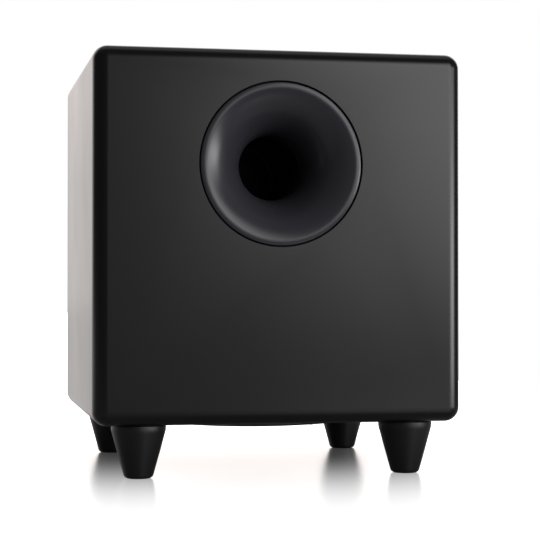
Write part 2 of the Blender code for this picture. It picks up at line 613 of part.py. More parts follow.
def power_rocker():
    """Rocker switch: a housing through the plate and a V-topped rocker in it."""
    wide, tall = 6.8 * MM, 9.8 * MM
    window_wide, window_tall = 5.6 * MM, 8.9 * MM
    body = box("rocker_housing", (ROCKER_X - wide, REAR_Y - 16 * MM, MAINS_Z - tall),
               (ROCKER_X + wide, REAR_Y + 1.8 * MM, MAINS_Z + tall), BLACK_PLASTIC)
    flange = boxes_mesh("rocker_flange", [((ROCKER_X - 8.5 * MM, REAR_Y + GAP, MAINS_Z - 12 * MM),
                                           (ROCKER_X + 8.5 * MM, REAR_Y + 1.8 * MM, MAINS_Z + 12 * MM))])
    boolean(body, place("rocker_flange", flange), "UNION")
    cut_boxes(body, "rocker_window", [((ROCKER_X - window_wide, REAR_Y - 13 * MM, MAINS_Z - window_tall),
                                       (ROCKER_X + window_wide, REAR_Y + 9 * MM, MAINS_Z + window_tall))])
    half, rise, dip, deep = 7.6 * MM, 5.6 * MM, 3.9 * MM, 4.0 * MM
    shape = [(-half, rise), (0, dip), (half, rise), (half, 0), (half * 0.7, -deep), (-half * 0.7, -deep),
             (-half, 0)]
    mesh = outline_prism("power_rocker", shape, 2 * (window_wide - 0.4 * MM))
    mesh.transform(Matrix.Rotation(-pi / 2, 4, "Y"))
    place("power_rocker", mesh, BLACK_PLASTIC, (ROCKER_X, REAR_Y - 2 * MM, MAINS_Z),
          (radians(ROCKER_SWING / 2), 0, 0))


def comb_outline(width, base, fin, count, height):
    """Outline of a finned extrusion: a base with evenly spaced fins."""
    points = [(-width / 2, 0), (width / 2, 0), (width / 2, base + height)]
    pitch = (width - fin) / (count - 1)
    for i in range(count):
        right = width / 2 - pitch * i
        left = right - fin
        if i:
            points += [(right, base), (right, base + height)]
        points.append((left, base + height))
        if i < count - 1:
            points.append((left, base))
    return points


def amp_inside():
    """Toroidal transformer, heat sink, board, capacitors and speaker lead."""
    inside = REAR_Y - AMP_PLATE - GAP
    toroid = [(14, 1), (15, 0), (37, 0), (39, 2), (39, 32), (37, 34), (15, 34), (14, 33)]
    turned("transformer", millimetres(toroid), COPPER, (46 * MM, inside, MAINS_Z + 16 * MM), TO_FRONT, 20)
    fins = outline_prism("heat_sink", comb_outline(150 * MM, 4 * MM, 2 * MM, 9, 16 * MM), 36 * MM)
    fins.transform(Matrix.Rotation(pi, 4, "Z"))
    place("heat_sink", fins, ALUMINIUM, (-8 * MM, inside, AMP_Z + 8 * MM))
    board_y = inside - 24 * MM
    box("amp_board", (-82 * MM, board_y - 1.6 * MM, AMP_Z + 32 * MM),
        (82 * MM, board_y, AMP_Z + 108 * MM), BOARD)
    can = [(0, 0), (10.2, 0), (11, 0.8), (11, 29.2), (10.2, 30), (0, 30)]
    for name, x in (("a", -62 * MM), ("b", -36 * MM)):
        turned(f"filter_capacitor_{name}", millimetres(can), BLACK_PLASTIC,
               (x, board_y - 1.6 * MM - GAP, AMP_Z + 46 * MM), TO_FRONT, 14)
    speaker_lead(board_y)


def speaker_lead(board_y):
    """Twin lead from the amplifier board down to the driver's terminal."""
    start = Vector((70 * MM, board_y - 3.6 * MM, AMP_Z + 46 * MM))
    end = Vector((0, CENTRE_Y + 79.6 * MM, UNDERSIDE + 42 * MM))
    lift = Vector((0, -30 * MM, 0))
    reach = Vector((0, 26 * MM, 0))
    curve = bpy.data.curves.new("speaker_lead", "CURVE")
    curve.dimensions = "3D"
    curve.bevel_depth = 1.8 * MM
    curve.bevel_resolution = 2
    curve.use_fill_caps = True
    spline = curve.splines.new("POLY")
    steps = 20
    spline.points.add(steps)
    controls = (start, start + lift, start + 2.2 * lift - Vector((0, 0, 90 * MM)), end + reach, end)
    for i in range(steps + 1):
        spline.points[i].co = (*bezier(controls, i / steps), 1)
    lead = bpy.data.objects.new("speaker_lead", curve)
    curve.materials.append(WIRE)
    PARTS.objects.link(lead)


def bezier(controls, t):
    """Point at t on the smooth curve through the control polygon."""
    points = list(controls)
    while len(points) > 1:
        points = [a.lerp(b, t) for a, b in zip(points, points[1:])]
    return points[0]


cabinet()
feet()
port()
driver()
amp_plate()
knobs()
slide_switches()
jacks_and_lamp()
mains_inlet()
power_rocker()
amp_inside()
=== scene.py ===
"""Looks of the powered subwoofer: the painted cabinet, its port, feet, driver
and rear plate, on a white studio floor."""

from math import atan2, cos, degrees, hypot, pi, radians, sin, tan

import bmesh
import bpy
from mathutils import Matrix, Vector
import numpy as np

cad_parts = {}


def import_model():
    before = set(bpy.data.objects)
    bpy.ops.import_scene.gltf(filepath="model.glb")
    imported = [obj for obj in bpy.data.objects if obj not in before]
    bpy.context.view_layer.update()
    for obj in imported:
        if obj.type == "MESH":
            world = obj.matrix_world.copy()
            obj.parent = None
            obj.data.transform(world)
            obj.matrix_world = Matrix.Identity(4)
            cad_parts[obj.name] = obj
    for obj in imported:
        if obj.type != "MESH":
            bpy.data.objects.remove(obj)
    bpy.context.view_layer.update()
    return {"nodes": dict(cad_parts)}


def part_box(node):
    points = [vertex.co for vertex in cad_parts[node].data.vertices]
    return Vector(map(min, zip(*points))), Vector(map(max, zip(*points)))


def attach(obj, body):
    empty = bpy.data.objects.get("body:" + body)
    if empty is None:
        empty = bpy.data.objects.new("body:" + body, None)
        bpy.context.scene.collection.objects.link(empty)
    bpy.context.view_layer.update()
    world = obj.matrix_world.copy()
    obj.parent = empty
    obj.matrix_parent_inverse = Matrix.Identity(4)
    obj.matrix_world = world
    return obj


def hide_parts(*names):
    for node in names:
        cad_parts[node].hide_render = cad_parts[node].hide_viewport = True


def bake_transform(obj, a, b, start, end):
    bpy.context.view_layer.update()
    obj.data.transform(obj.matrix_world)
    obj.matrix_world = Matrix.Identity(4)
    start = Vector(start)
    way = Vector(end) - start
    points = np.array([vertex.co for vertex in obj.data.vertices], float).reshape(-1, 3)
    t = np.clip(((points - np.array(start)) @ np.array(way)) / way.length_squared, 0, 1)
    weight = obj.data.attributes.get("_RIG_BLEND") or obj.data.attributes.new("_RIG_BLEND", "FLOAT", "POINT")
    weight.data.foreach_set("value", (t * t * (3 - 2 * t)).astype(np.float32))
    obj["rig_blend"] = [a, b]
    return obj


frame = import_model()

MM = 0.001
X_AXIS, Y_AXIS, Z_AXIS = Vector((1, 0, 0)), Vector((0, 1, 0)), Vector((0, 0, 1))


# ---- places taken from the frame -------------------------------------------
def middle(node, axis):
    """The middle of a node's box along X (0), Y (1) or Z (2)."""
    low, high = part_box(node)
    return (low[axis] + high[axis]) / 2


baffle_low, baffle_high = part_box("front_baffle")
side_low, side_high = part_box("left_panel")
plate_low, plate_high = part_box("amp_plate")

FRONT_Y = baffle_low.y
REAR_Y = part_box("rear_panel")[1].y
UNDERSIDE = baffle_low.z
TOP = baffle_high.z
HALF_WIDTH = baffle_high.x
WALL = side_high.x - side_low.x
PORT_CENTRE = Vector((0, FRONT_Y, middle("port_flare", 2)))
DRIVER_CENTRE = Vector((0, middle("woofer_frame", 1), UNDERSIDE))

# How far a cutting shape runs past the surface that it cuts.
PAST = 10 * MM


# ---- mesh helpers ------------------------------------------------------------
def add(name, mesh, material, body="cabinet"):
    """Put a finished mesh in the scene as a piece that rides on a body."""
    obj = bpy.data.objects.new(name, mesh)
    bpy.context.scene.collection.objects.link(obj)
    mesh.materials.clear()
    mesh.materials.append(material)
    if body:
        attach(obj, body)
    return obj


def smooth(mesh, angle=32):
    """Smooth shading, with sharp edges where faces meet at more than the angle."""
    mesh.shade_smooth()
    mesh.set_sharp_from_angle(angle=radians(angle))
    return mesh


def mesh_from(bm, name):
    bmesh.ops.recalc_face_normals(bm, faces=bm.faces)
    mesh = bpy.data.meshes.new(name)
    bm.to_mesh(mesh)
    bm.free()
    return mesh


def rounded(corners, steps=5):
    """A closed profile whose corners (x, y, radius) are replaced by arcs."""
    points = []
    for i, (x, y, radius) in enumerate(corners):
        here = Vector((x, y))
        if not radius:
            points.append((x, y))
            continue
        before = Vector(corners[i - 1][:2]) - here
        after = Vector(corners[(i + 1) % len(corners)][:2]) - here
        half = before.angle(after) / 2
        reach = min(radius / tan(half), 0.49 * before.length, 0.49 * after.length)
        bow = reach * tan(half)
        inward = (before.normalized() + after.normalized()).normalized()
        centre = here + inward * (reach / cos(half))
        first = here + before.normalized() * reach - centre
        last = here + after.normalized() * reach - centre
        for k in range(steps + 1):
            spoke = first.slerp(last, k / steps) if first.angle(last) > 1e-4 else first
            points.append(tuple(centre + spoke.normalized() * bow))
    return points


def arc(centre, radius, start, end, steps):
    """Points of a circle from one angle to another, in degrees."""
    for i in range(steps + 1):
        angle = radians(start + (end - start) * i / steps)
        yield (centre[0] + radius * cos(angle), centre[1] + radius * sin(angle))


def side_of(axis):
    """A direction at right angles to the axis."""
    return (Z_AXIS if abs(axis.z) < 0.9 else X_AXIS).cross(axis).normalized()


def turned_mesh(name, profile, centre, axis, segments=128, angle=32):
    """A closed profile of (radius, height) turned about an axis."""
    across = side_of(axis)
    up = axis.cross(across)
    bm = bmesh.new()
    rings = []
    for i in range(segments):
        turn = 2 * pi * i / segments
        spoke = across * cos(turn) + up * sin(turn)
        rings.append([bm.verts.new(centre + spoke * r + axis * h) for r, h in profile])
    count = len(profile)
    for i in range(segments):
        here, there = rings[i], rings[(i + 1) % segments]
        for j in range(count):
            k = (j + 1) % count
            bm.faces.new((here[j], here[k], there[k], there[j]))
    bmesh.ops.remove_doubles(bm, verts=bm.verts, dist=1e-7)
    flat = [face for face in bm.faces if face.calc_area() < 1e-14]
    bmesh.ops.delete(bm, geom=flat, context="FACES_ONLY")
    return smooth(mesh_from(bm, name), angle)


def turned(name, profile, centre, axis, material, body="cabinet", segments=128, angle=32):
    """A turned mesh as a piece in the scene."""
    return add(name, turned_mesh(name, profile, centre, axis, segments, angle), material, body)


def millimetres(points):
    """The points of a profile written in millimetres, in metres."""
    return [tuple(value * MM for value in point) for point in points]


def box_mesh(name, low, high, bevel=0.0, segments=3):
    """A cuboid between two corners, with its edges rounded."""
    low, high = Vector(low), Vector(high)
    bm = bmesh.new()
    matrix = Matrix.Translation((low + high) / 2) @ Matrix.Diagonal((*(high - low), 1.0))
    bmesh.ops.create_cube(bm, size=1.0, matrix=matrix)
    if bevel:
        bmesh.ops.bevel(bm, geom=bm.edges[:], offset=bevel, segments=segments,
                        profile=0.5, affect="EDGES")
    return mesh_from(bm, name)


def oriented_box(centre, one, other, axis, length, width, depth):
    """A cuboid of that length, width and depth along three directions."""
    matrix = Matrix.Translation(centre) @ Matrix((one, other, axis)).transposed().to_4x4()
    bm = bmesh.new()
    bmesh.ops.create_cube(bm, size=1.0, matrix=matrix @ Matrix.Diagonal((length, width, depth, 1)))
    return mesh_from(bm, "box")


def rod_mesh(name, centre, axis, radius, length, segments=64):
    """A plain rod, used to cut round holes."""
    bm = bmesh.new()
    matrix = Matrix.Translation(centre) @ axis.to_track_quat("Z", "Y").to_matrix().to_4x4()
    bmesh.ops.create_cone(bm, cap_ends=True, segments=segments, radius1=radius,
                          radius2=radius, depth=length, matrix=matrix)
    return mesh_from(bm, name)


def slab_mesh(name, outline, centre, axis, up, thickness, bevel):
    """An outline in the plane across the axis, made solid along it, with a bevelled rim."""
    across = up.cross(axis)
    bm = bmesh.new()
    base = centre - axis * thickness / 2
    verts = [bm.verts.new(base + across * x + up * y) for x, y in outline]
    pushed = bmesh.ops.extrude_face_region(bm, geom=[bm.faces.new(verts)])
    moved = [item for item in pushed["geom"] if isinstance(item, bmesh.types.BMVert)]
    bmesh.ops.translate(bm, vec=axis * thickness, verts=moved)
    bmesh.ops.recalc_face_normals(bm, faces=bm.faces)
    rim = [edge for edge in bm.edges if edge.calc_face_angle(0) > radians(60)]
    bmesh.ops.bevel(bm, geom=rim, offset=bevel, segments=2, profile=0.5, affect="EDGES")
    return mesh_from(bm, name)


def cut(mesh, others):
    """The mesh with others cut from it by an exact Boolean."""
    scene = bpy.context.scene.collection
    base = bpy.data.objects.new("boolean_base", mesh)
    scene.objects.link(base)
    tools = []
    for other in others:
        tool = bpy.data.objects.new("boolean_tool", other)
        scene.objects.link(tool)
        tools.append(tool)
        step = base.modifiers.new("Step", "BOOLEAN")
        step.operation = "DIFFERENCE"
        step.solver = "EXACT"
        step.object = tool
    bpy.context.view_layer.update()
    graph = bpy.context.evaluated_depsgraph_get()
    result = bpy.data.meshes.new_from_object(base.evaluated_get(graph))
    result.name = mesh.name
    for obj in [base, *tools]:
        bpy.data.objects.remove(obj, do_unlink=True)
    return result


# A screw's head radius, head height, shank radius and length.
FOOT_SCREW = (4.4 * MM, 2.9 * MM, 2.0 * MM, 28 * MM)
DRIVER_SCREW = (3.6 * MM, 2.1 * MM, 1.6 * MM, 12 * MM)
PLATE_SCREW = (3.3 * MM, 1.9 * MM, 1.5 * MM, 8 * MM)


def screw_mesh(name, seat, axis, head, rise, shank, length):
    """A pan-head screw with a cross recess; the axis points out of the head."""
    profile = rounded([(0, rise, 0), (head * 0.55, rise, head * 0.5),
                       (head, rise * 0.35, head * 0.1), (head, 0, 0), (shank, 0, 0),
                       (shank, -length, shank * 0.5), (0, -length, 0)])
    body = turned_mesh(name, profile, seat, axis, 32)
    across = side_of(axis)
    up = axis.cross(across)
    face = seat + axis * rise * 0.95
    slots = [oriented_box(face, one, other, axis, head * 1.04, head * 0.24, rise * 1.1)
             for one, other in ((across, up), (up, across))]
    return smooth(cut(body, slots), 30)


# ---- materials ---------------------------------------------------------------
def surface(name, colour, roughness, metallic=0.0, grain=900.0, bump=0.1, depth=0.00004,
            spread=0.04, tint=0.12, specular=0.5):
    """A Principled surface with fine bump, and slow changes of sheen and tone."""
    mat = bpy.data.materials.new(name)
    mat.use_nodes = True
    nodes, links = mat.node_tree.nodes, mat.node_tree.links
    shader = nodes["Principled BSDF"]
    shader.inputs["Metallic"].default_value = metallic
    shader.inputs["Specular IOR Level"].default_value = specular
    where = nodes.new("ShaderNodeTexCoord")
    slow = nodes.new("ShaderNodeTexNoise")
    slow.inputs["Scale"].default_value = 9.0
    slow.inputs["Detail"].default_value = 4.0
    links.new(where.outputs["Object"], slow.inputs["Vector"])
    sheen = nodes.new("ShaderNodeMapRange")
    sheen.inputs["From Min"].default_value = 0.3
    sheen.inputs["From Max"].default_value = 0.7
    sheen.inputs["To Min"].default_value = roughness - spread
    sheen.inputs["To Max"].default_value = roughness + spread
    links.new(slow.outputs["Fac"], sheen.inputs["Value"])
    links.new(sheen.outputs["Result"], shader.inputs["Roughness"])
    fine = nodes.new("ShaderNodeTexNoise")
    fine.inputs["Scale"].default_value = grain
    fine.inputs["Detail"].default_value = 3.0
    links.new(where.outputs["Object"], fine.inputs["Vector"])
    tone = nodes.new("ShaderNodeMix")
    tone.data_type = "RGBA"
    # Of a Mix node's sockets, 6 and 7 are its two colours and output 2 is their mix.
    tone.inputs[6].default_value = (*[c * (1 - tint) for c in colour], 1.0)
    tone.inputs[7].default_value = (*[c * (1 + tint) for c in colour], 1.0)
    links.new(fine.outputs["Fac"], tone.inputs[0])
    links.new(tone.outputs[2], shader.inputs["Base Color"])
    relief = nodes.new("ShaderNodeBump")
    relief.inputs["Strength"].default_value = bump
    relief.inputs["Distance"].default_value = depth
    links.new(fine.outputs["Fac"], relief.inputs["Height"])
    links.new(relief.outputs["Normal"], shader.inputs["Normal"])
    return mat


PAINT = surface("satin_black_paint", (0.0045, 0.0045, 0.0048), 0.23, grain=1500, bump=0.25,
                depth=0.00002, spread=0.015)
PORT_PLASTIC = surface("port_plastic", (0.040, 0.040, 0.048), 0.245, grain=1200, bump=0.12,
                       depth=0.00002, spread=0.02)
# Painted shade: a near-black, rough and dull surface that darkens the walls and the bottom of the gap round
# the port.
GAP_SHADE = surface("painted_gap_shade", (0.003, 0.003, 0.003), 0.8, grain=600, bump=0.3, spread=0.02,
                   specular=0.2)
CARD = surface("tube_card", (0.012, 0.011, 0.010), 0.85, grain=400, bump=0.4, depth=0.0001)
FOOT_PLASTIC = surface("foot_plastic", (0.0055, 0.0055, 0.0057), 0.42, grain=1500, bump=0.3,
                       depth=0.00003, spread=0.03)
ZINC = surface("zinc_plate", (0.56, 0.56, 0.53), 0.32, metallic=1.0, grain=500)
BLACK_STEEL = surface("black_steel", (0.012, 0.012, 0.012), 0.38, grain=1300, bump=0.3)
RUBBER = surface("butyl_rubber", (0.008, 0.008, 0.008), 0.52, bump=0.2)
CONE = surface("cone_polymer", (0.014, 0.014, 0.015), 0.48, grain=700, bump=0.35,
               depth=0.00008)
CAP = surface("dust_cap_polymer", (0.012, 0.012, 0.013), 0.36, bump=0.15)
CLOTH = surface("spider_cloth", (0.50, 0.36, 0.16), 0.85, grain=1500, bump=0.5, depth=0.0001)
COPPER = surface("copper_wire", (0.72, 0.34, 0.17), 0.3, metallic=1.0, grain=1600, bump=0.4)
FERRITE = surface("ferrite", (0.03, 0.03, 0.032), 0.7, grain=600, bump=0.3)
POWDER = surface("plate_powder_coat", (0.010, 0.010, 0.011), 0.50, grain=1400, bump=0.9,
                 depth=0.00008, tint=0.3)
FOAM = surface("foam_seal", (0.015, 0.015, 0.015), 0.9, grain=1200, bump=0.8, depth=0.0002)
BOARD = surface("circuit_board", (0.015, 0.12, 0.05), 0.4, grain=300)
ALUMINIUM = surface("aluminium", (0.72, 0.72, 0.73), 0.35, metallic=1.0, grain=500, bump=0.15)
PLASTIC = surface("black_plastic", (0.012, 0.012, 0.012), 0.34, grain=1400, bump=0.25,
                  depth=0.00003)
SOFT_KNOB = surface("soft_knob", (0.011, 0.011, 0.011), 0.5, grain=1500, bump=0.3)
GREY_PLASTIC = surface("grey_plastic", (0.09, 0.09, 0.09), 0.5, bump=0.2)
NICKEL = surface("nickel_plate", (0.78, 0.75, 0.68), 0.16, metallic=1.0, grain=500, bump=0.03)
WHITE_INSERT = surface("white_insert", (0.75, 0.75, 0.73), 0.35, bump=0.05)
RED_INSERT = surface("red_insert", (0.55, 0.02, 0.02), 0.35, bump=0.05)
PRINT = surface("pale_print", (0.60, 0.60, 0.58), 0.55, bump=0.05)
LAMP = surface("lamp_lens", (0.05, 0.35, 0.09), 0.12, grain=300, bump=0.02)
WIRE = surface("wire_sleeve", (0.30, 0.02, 0.02), 0.45, grain=700)

# The CAD nodes that show with their own shape, and their materials.
CARRIED = {
    "woofer_spider": CLOTH, "woofer_voice_coil": COPPER, "woofer_top_plate": ZINC,
    "woofer_magnet": FERRITE, "woofer_yoke": ZINC, "woofer_terminal": PLASTIC,
    "amp_seal": FOAM, "amp_board": BOARD, "heat_sink": ALUMINIUM, "transformer": COPPER,
    "filter_capacitor_a": PLASTIC, "filter_capacitor_b": PLASTIC, "volume_pot": GREY_PLASTIC,
    "crossover_pot": GREY_PLASTIC, "phase_switch_body": GREY_PLASTIC,
    "mode_switch_body": GREY_PLASTIC, "speaker_lead": WIRE, "port_tube": CARD,
    "mains_inlet": PLASTIC, "fuse_drawer": PLASTIC, "rocker_housing": PLASTIC,
    "power_rocker": PLASTIC, "phase_lever": PLASTIC, "mode_lever": PLASTIC,
}
for node, material in CARRIED.items():
    mesh = frame["nodes"][node].data
    mesh.materials.clear()
    mesh.materials.append(material)


# ---- cabinet -------------------------------------------------------------------
EDGE_RADIUS = 12.7 * MM
PORT_FLANGE = 69.2 * MM
PORT_REBATE = 70.45 * MM
REBATE_DEPTH = 3.6 * MM
PORT_HOLE = 63 * MM
DRIVER_HOLE = 95 * MM
PLATE_GAP = Vector((0.3, 0, 0.3)) * MM
PLATE_SEAT = 1.6 * MM
PLATE_BORDER = Vector((12, 0, 12)) * MM


def shade_gap(obj):
    """Paints the walls and the bottom of the gap around the port near-black and dull, as painted shade."""
    obj.data.materials.append(GAP_SHADE)
    shade_slot = len(obj.data.materials) - 1
    for face in obj.data.polygons:
        away = face.center - PORT_CENTRE
        radius = hypot(away.x, away.z)
        near_rim = abs(radius - PORT_FLANGE) < 1.4 * MM and 0 < away.y < 4 * MM
        wall = near_rim and abs(face.normal.y) < 0.8
        at_bottom = radius < PORT_REBATE and abs(away.y - REBATE_DEPTH) < 0.1 * MM
        bottom = at_bottom and face.normal.y < -0.99
        if wall or bottom:
            face.material_index = shade_slot


def cabinet_shell():
    """The painted cabinet as one skin: rounded outside, hollow inside."""
    low = Vector((-HALF_WIDTH, FRONT_Y, UNDERSIDE))
    high = Vector((HALF_WIDTH, REAR_Y, TOP))
    block = box_mesh("cabinet_shell", low, high, EDGE_RADIUS, 12)
    inset = Vector((WALL, WALL, WALL))
    shell = cut(block, [
        box_mesh("hollow", low + inset, high - inset),
        rod_mesh("port_rebate", PORT_CENTRE, Y_AXIS, PORT_REBATE, 2 * REBATE_DEPTH, 160),
        rod_mesh("port_hole", PORT_CENTRE, Y_AXIS, PORT_HOLE, 3 * WALL, 96),
        rod_mesh("driver_hole", DRIVER_CENTRE, Z_AXIS, DRIVER_HOLE, 3 * WALL, 128),
        box_mesh("plate_rebate", plate_low - PLATE_GAP - Y_AXIS * PLATE_SEAT,
                 plate_high + PLATE_GAP + Y_AXIS * PAST),
        box_mesh("plate_hole", plate_low + PLATE_BORDER - Y_AXIS * 2 * WALL,
                 plate_high - PLATE_BORDER + Y_AXIS * PAST),
    ])
    obj = add("cabinet_shell", smooth(shell, 28), PAINT)
    # The rebate's walls and bottom take the painted shade of the gap.
    shade_gap(obj)
    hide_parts("front_baffle", "rear_panel", "left_panel", "right_panel", "top_panel",
                "bottom_panel")


# ---- port ------------------------------------------------------------------------
# The lip is an arc over its crest with a small arc at the rim; the flare runs
# on from it in one curve, and meets the tube at the throat. Angles in degrees.
CREST_RADIUS, CREST_DEPTH = 65.5 * MM, 0.1 * MM
LIP_BOW = 9.5 * MM
LIP_OUT, LIP_IN = 19, 15
THROAT = Vector((28.4, 52.0)) * MM
FLARE_REACH = 24 * MM
THROAT_REACH = 18 * MM
FLARE_STEPS = 48
PORT_SKIN = 2.4 * MM
NECK_RADIUS = 61.5 * MM
FLANGE_BACK = 3.0 * MM
SLEEVE_END = 67.0 * MM
TAIL_START, TAIL_END, TAIL_BOW = 188 * MM, 201 * MM, 12 * MM


def lip_line():
    """The lip from the flange's rim over its crest, as (radius, depth)."""
    tilt = radians(LIP_OUT)
    rim_bow = (PORT_FLANGE - CREST_RADIUS - LIP_BOW * sin(tilt)) / (1 - sin(tilt))
    rim = (PORT_FLANGE - rim_bow, CREST_DEPTH + LIP_BOW - (LIP_BOW - rim_bow) * cos(tilt))
    yield from arc(rim, rim_bow, 0, LIP_OUT - 90, 8)
    crest = (CREST_RADIUS, CREST_DEPTH + LIP_BOW)
    yield from list(arc(crest, LIP_BOW, LIP_OUT - 90, -90 - LIP_IN, 16))[1:]


def flare_line(start):
    """Inner line of the flare from the lip to the throat, as (radius, depth)."""
    lean = radians(LIP_IN)
    start = Vector(start)
    first = start + FLARE_REACH * Vector((-cos(lean), sin(lean)))
    second = THROAT - THROAT_REACH * Vector((0, 1))
    for i in range(1, FLARE_STEPS + 1):
        t = i / FLARE_STEPS
        u = 1 - t
        yield tuple(u**3 * start + 3 * u * u * t * first + 3 * u * t * t * second + t**3 * THROAT)


def port():
    """Moulded front flare, and the flare at the tube's inner end, on one axis."""
    lip = list(lip_line())
    inner = [Vector(point) for point in [lip[-1], *flare_line(lip[-1])]]
    outer = []
    for before, here, after in zip(inner, inner[1:], inner[2:]):
        run = (after - before).normalized()
        radius, depth = here.x + PORT_SKIN * run.y, here.y - PORT_SKIN * run.x
        if radius < NECK_RADIUS and depth > FLANGE_BACK + 1 * MM:
            outer.append((radius, depth))
    loop = lip + [tuple(point) for point in inner[1:]]
    loop += [(THROAT.x, SLEEVE_END), (THROAT.x + PORT_SKIN, SLEEVE_END)]
    loop += outer[::-1] + [(NECK_RADIUS, FLANGE_BACK), (PORT_FLANGE, FLANGE_BACK)]
    flare = turned("port_flare_moulding", loop, PORT_CENTRE, Y_AXIS, PORT_PLASTIC, segments=192)
    # The flange's outer wall in the gap takes the same painted shade.
    shade_gap(flare)
    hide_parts("port_flare")
    centre = (THROAT.x + TAIL_BOW, TAIL_END)
    loop = [(THROAT.x, TAIL_START), *arc(centre, TAIL_BOW, 180, 90, 10),
            *arc(centre, TAIL_BOW - PORT_SKIN, 90, 180, 8), (THROAT.x + PORT_SKIN, TAIL_START)]
    tail = turned("port_tail_flare", loop, PORT_CENTRE, Y_AXIS, PORT_PLASTIC, segments=96)
    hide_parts("port_inner_flare")


# ---- feet ------------------------------------------------------------------------
FEET = ("front_left", "front_right", "rear_left", "rear_right")
FOOT_WIDE, FOOT_NARROW = 23.3 * MM, 11.9 * MM
FOOT_COLLAR = 4.8 * MM
FOOT_HOLE = 2.6 * MM
FOOT_WELL, WELL_DEPTH = 5.5 * MM, 30 * MM


def feet():
    """Tapered feet: a short collar, a cone and a rounded end, with a screw up
    a well in the middle."""
    for name in FEET:
        x, y = middle("foot_" + name, 0), middle("foot_" + name, 1)
        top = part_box("foot_" + name)[1].z
        corners = [(FOOT_HOLE, top, 0), (FOOT_WIDE, top, 1.0 * MM),
                   (FOOT_WIDE, top - FOOT_COLLAR, 14 * MM), (FOOT_NARROW, 0, 4.7 * MM),
                   (FOOT_WELL, 0, 0.6 * MM), (FOOT_WELL, WELL_DEPTH, 0), (FOOT_HOLE, WELL_DEPTH, 0)]
        foot = turned("foot_moulding_" + name, rounded(corners, 8), Vector((x, y, 0)), Z_AXIS,
                      FOOT_PLASTIC, segments=96, angle=40)
        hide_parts("foot_" + name)
        seat = Vector((x, y, WELL_DEPTH - 0.4 * MM))
        screw = add("foot_bolt_" + name, screw_mesh("foot_bolt", seat, -Z_AXIS, *FOOT_SCREW), ZINC)
        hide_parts("foot_screw_" + name)


# ---- driver ------------------------------------------------------------------------
# Profiles are in millimetres from the cabinet's underside on the driver's axis:
# (radius, height) or (radius, height, rounding of the corner).
SCREW_COUNT = 8
SCREW_CIRCLE, SCREW_HOLE = 99 * MM, 2.2 * MM
FRAME_LINE = [
    (28.5, 52, 0), (62, 52, 1), (64.5, 50, 1), (64.5, 46.5, 1), (92, 6, 1), (94.2, 2, 1),
    (94.2, -0.3, 0), (104.5, -0.3, 0.6), (104.5, -2.8, 1.0), (92.9, -2.8, 0.3), (92.9, -0.3, 0),
    (86, -0.3, 0.4), (86, 1.7, 0.4), (90.5, 4.5, 0.6), (63, 44.5, 0.6), (56, 44.5, 0.3),
    (56, 49.8, 0), (28.5, 49.8, 0)]
TRIM_LINE = [(92.6, -1.8, 0), (92.6, -5.9, 1.4), (87.3, -5.9, 0.9), (87.3, -1.8, 0)]
WINDOW_COUNT = 6
WINDOW_LOW, WINDOW_HIGH = 10 * MM, 41 * MM
WINDOW_CIRCLE, WINDOW_LENGTH, WINDOW_WIDTH = 85 * MM, 60 * MM, 46 * MM
# Radii between which the surround's roll bends.
ROLL_OUT, ROLL_IN = 87 * MM, 72 * MM
# In millimetres: the roll's section, the cone's face with its shallow rings,
# and the cap's rim radius, rise, rim height and thickness.
ROLL_CENTRE, ROLL_OUTSIDE, ROLL_INSIDE = (79.6, -0.6), 6.4, 5.5
CONE_RADIUS, CONE_RUN, CONE_DEPTH, CONE_CURVE, CONE_STEPS = 68.0, 41.0, 33.3, 0.92, 40
RIPPLE_COUNT, RIPPLE_HEIGHT = 9, 0.25
CAP_RADIUS, CAP_RISE, CAP_LEVEL, CAP_SKIN = 31.0, 10.0, 29.2, 0.8


def screw_turns():
    for i in range(SCREW_COUNT):
        yield 2 * pi * (i + 0.5) / SCREW_COUNT


def screw_spot(turn):
    return DRIVER_CENTRE + Vector((cos(turn), sin(turn), 0)) * SCREW_CIRCLE


def driver_frame():
    """Black frame: mounting flange, windowed wall and spider shelf."""
    mesh = turned_mesh("driver_frame", rounded(millimetres(FRAME_LINE), 3), DRIVER_CENTRE,
                       Z_AXIS, 144)
    openings = []
    for i in range(WINDOW_COUNT):
        turn = 2 * pi * i / WINDOW_COUNT
        out = Vector((cos(turn), sin(turn), 0))
        spot = DRIVER_CENTRE + out * WINDOW_CIRCLE + Z_AXIS * (WINDOW_LOW + WINDOW_HIGH) / 2
        openings.append(oriented_box(spot, out, Z_AXIS.cross(out), Z_AXIS, WINDOW_LENGTH,
                                     WINDOW_WIDTH, WINDOW_HIGH - WINDOW_LOW))
    for turn in screw_turns():
        openings.append(rod_mesh("hole", screw_spot(turn), Z_AXIS, SCREW_HOLE, 12 * MM, 24))
    obj = add("driver_frame", smooth(cut(mesh, openings), 30), BLACK_STEEL)
    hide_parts("woofer_frame")


def surround():
    """Half-roll rubber edge: its outer flat stays with the frame, its inner
    flat moves with the cone, and the roll follows in between."""
    outer = list(arc(ROLL_CENTRE, ROLL_OUTSIDE, -6, -174, 28))
    inner = list(arc(ROLL_CENTRE, ROLL_INSIDE, -180, 0, 28))
    loop = [(92.6, -0.6), (92.6, -1.5), (87.2, -1.5), *outer, (72.0, -1.5), (69.5, -1.5),
            (69.5, -0.6), *inner]
    mesh = turned_mesh("rubber_surround", millimetres(loop), DRIVER_CENTRE, Z_AXIS, 144)
    obj = add("rubber_surround", mesh, RUBBER, None)
    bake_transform(obj, "cabinet", "cone_group", start=DRIVER_CENTRE + X_AXIS * ROLL_OUT,
             end=DRIVER_CENTRE + X_AXIS * ROLL_IN)
    # The roll is round, so a point's share of the motion follows its radius.
    weights = obj.data.attributes["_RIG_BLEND"].data
    for vert, weight in zip(obj.data.vertices, weights):
        radius = (vert.co - DRIVER_CENTRE).to_2d().length
        share = min(max((ROLL_OUT - radius) / (ROLL_OUT - ROLL_IN), 0.0), 1.0)
        weight.value = share * share * (3 - 2 * share)
    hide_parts("woofer_surround")


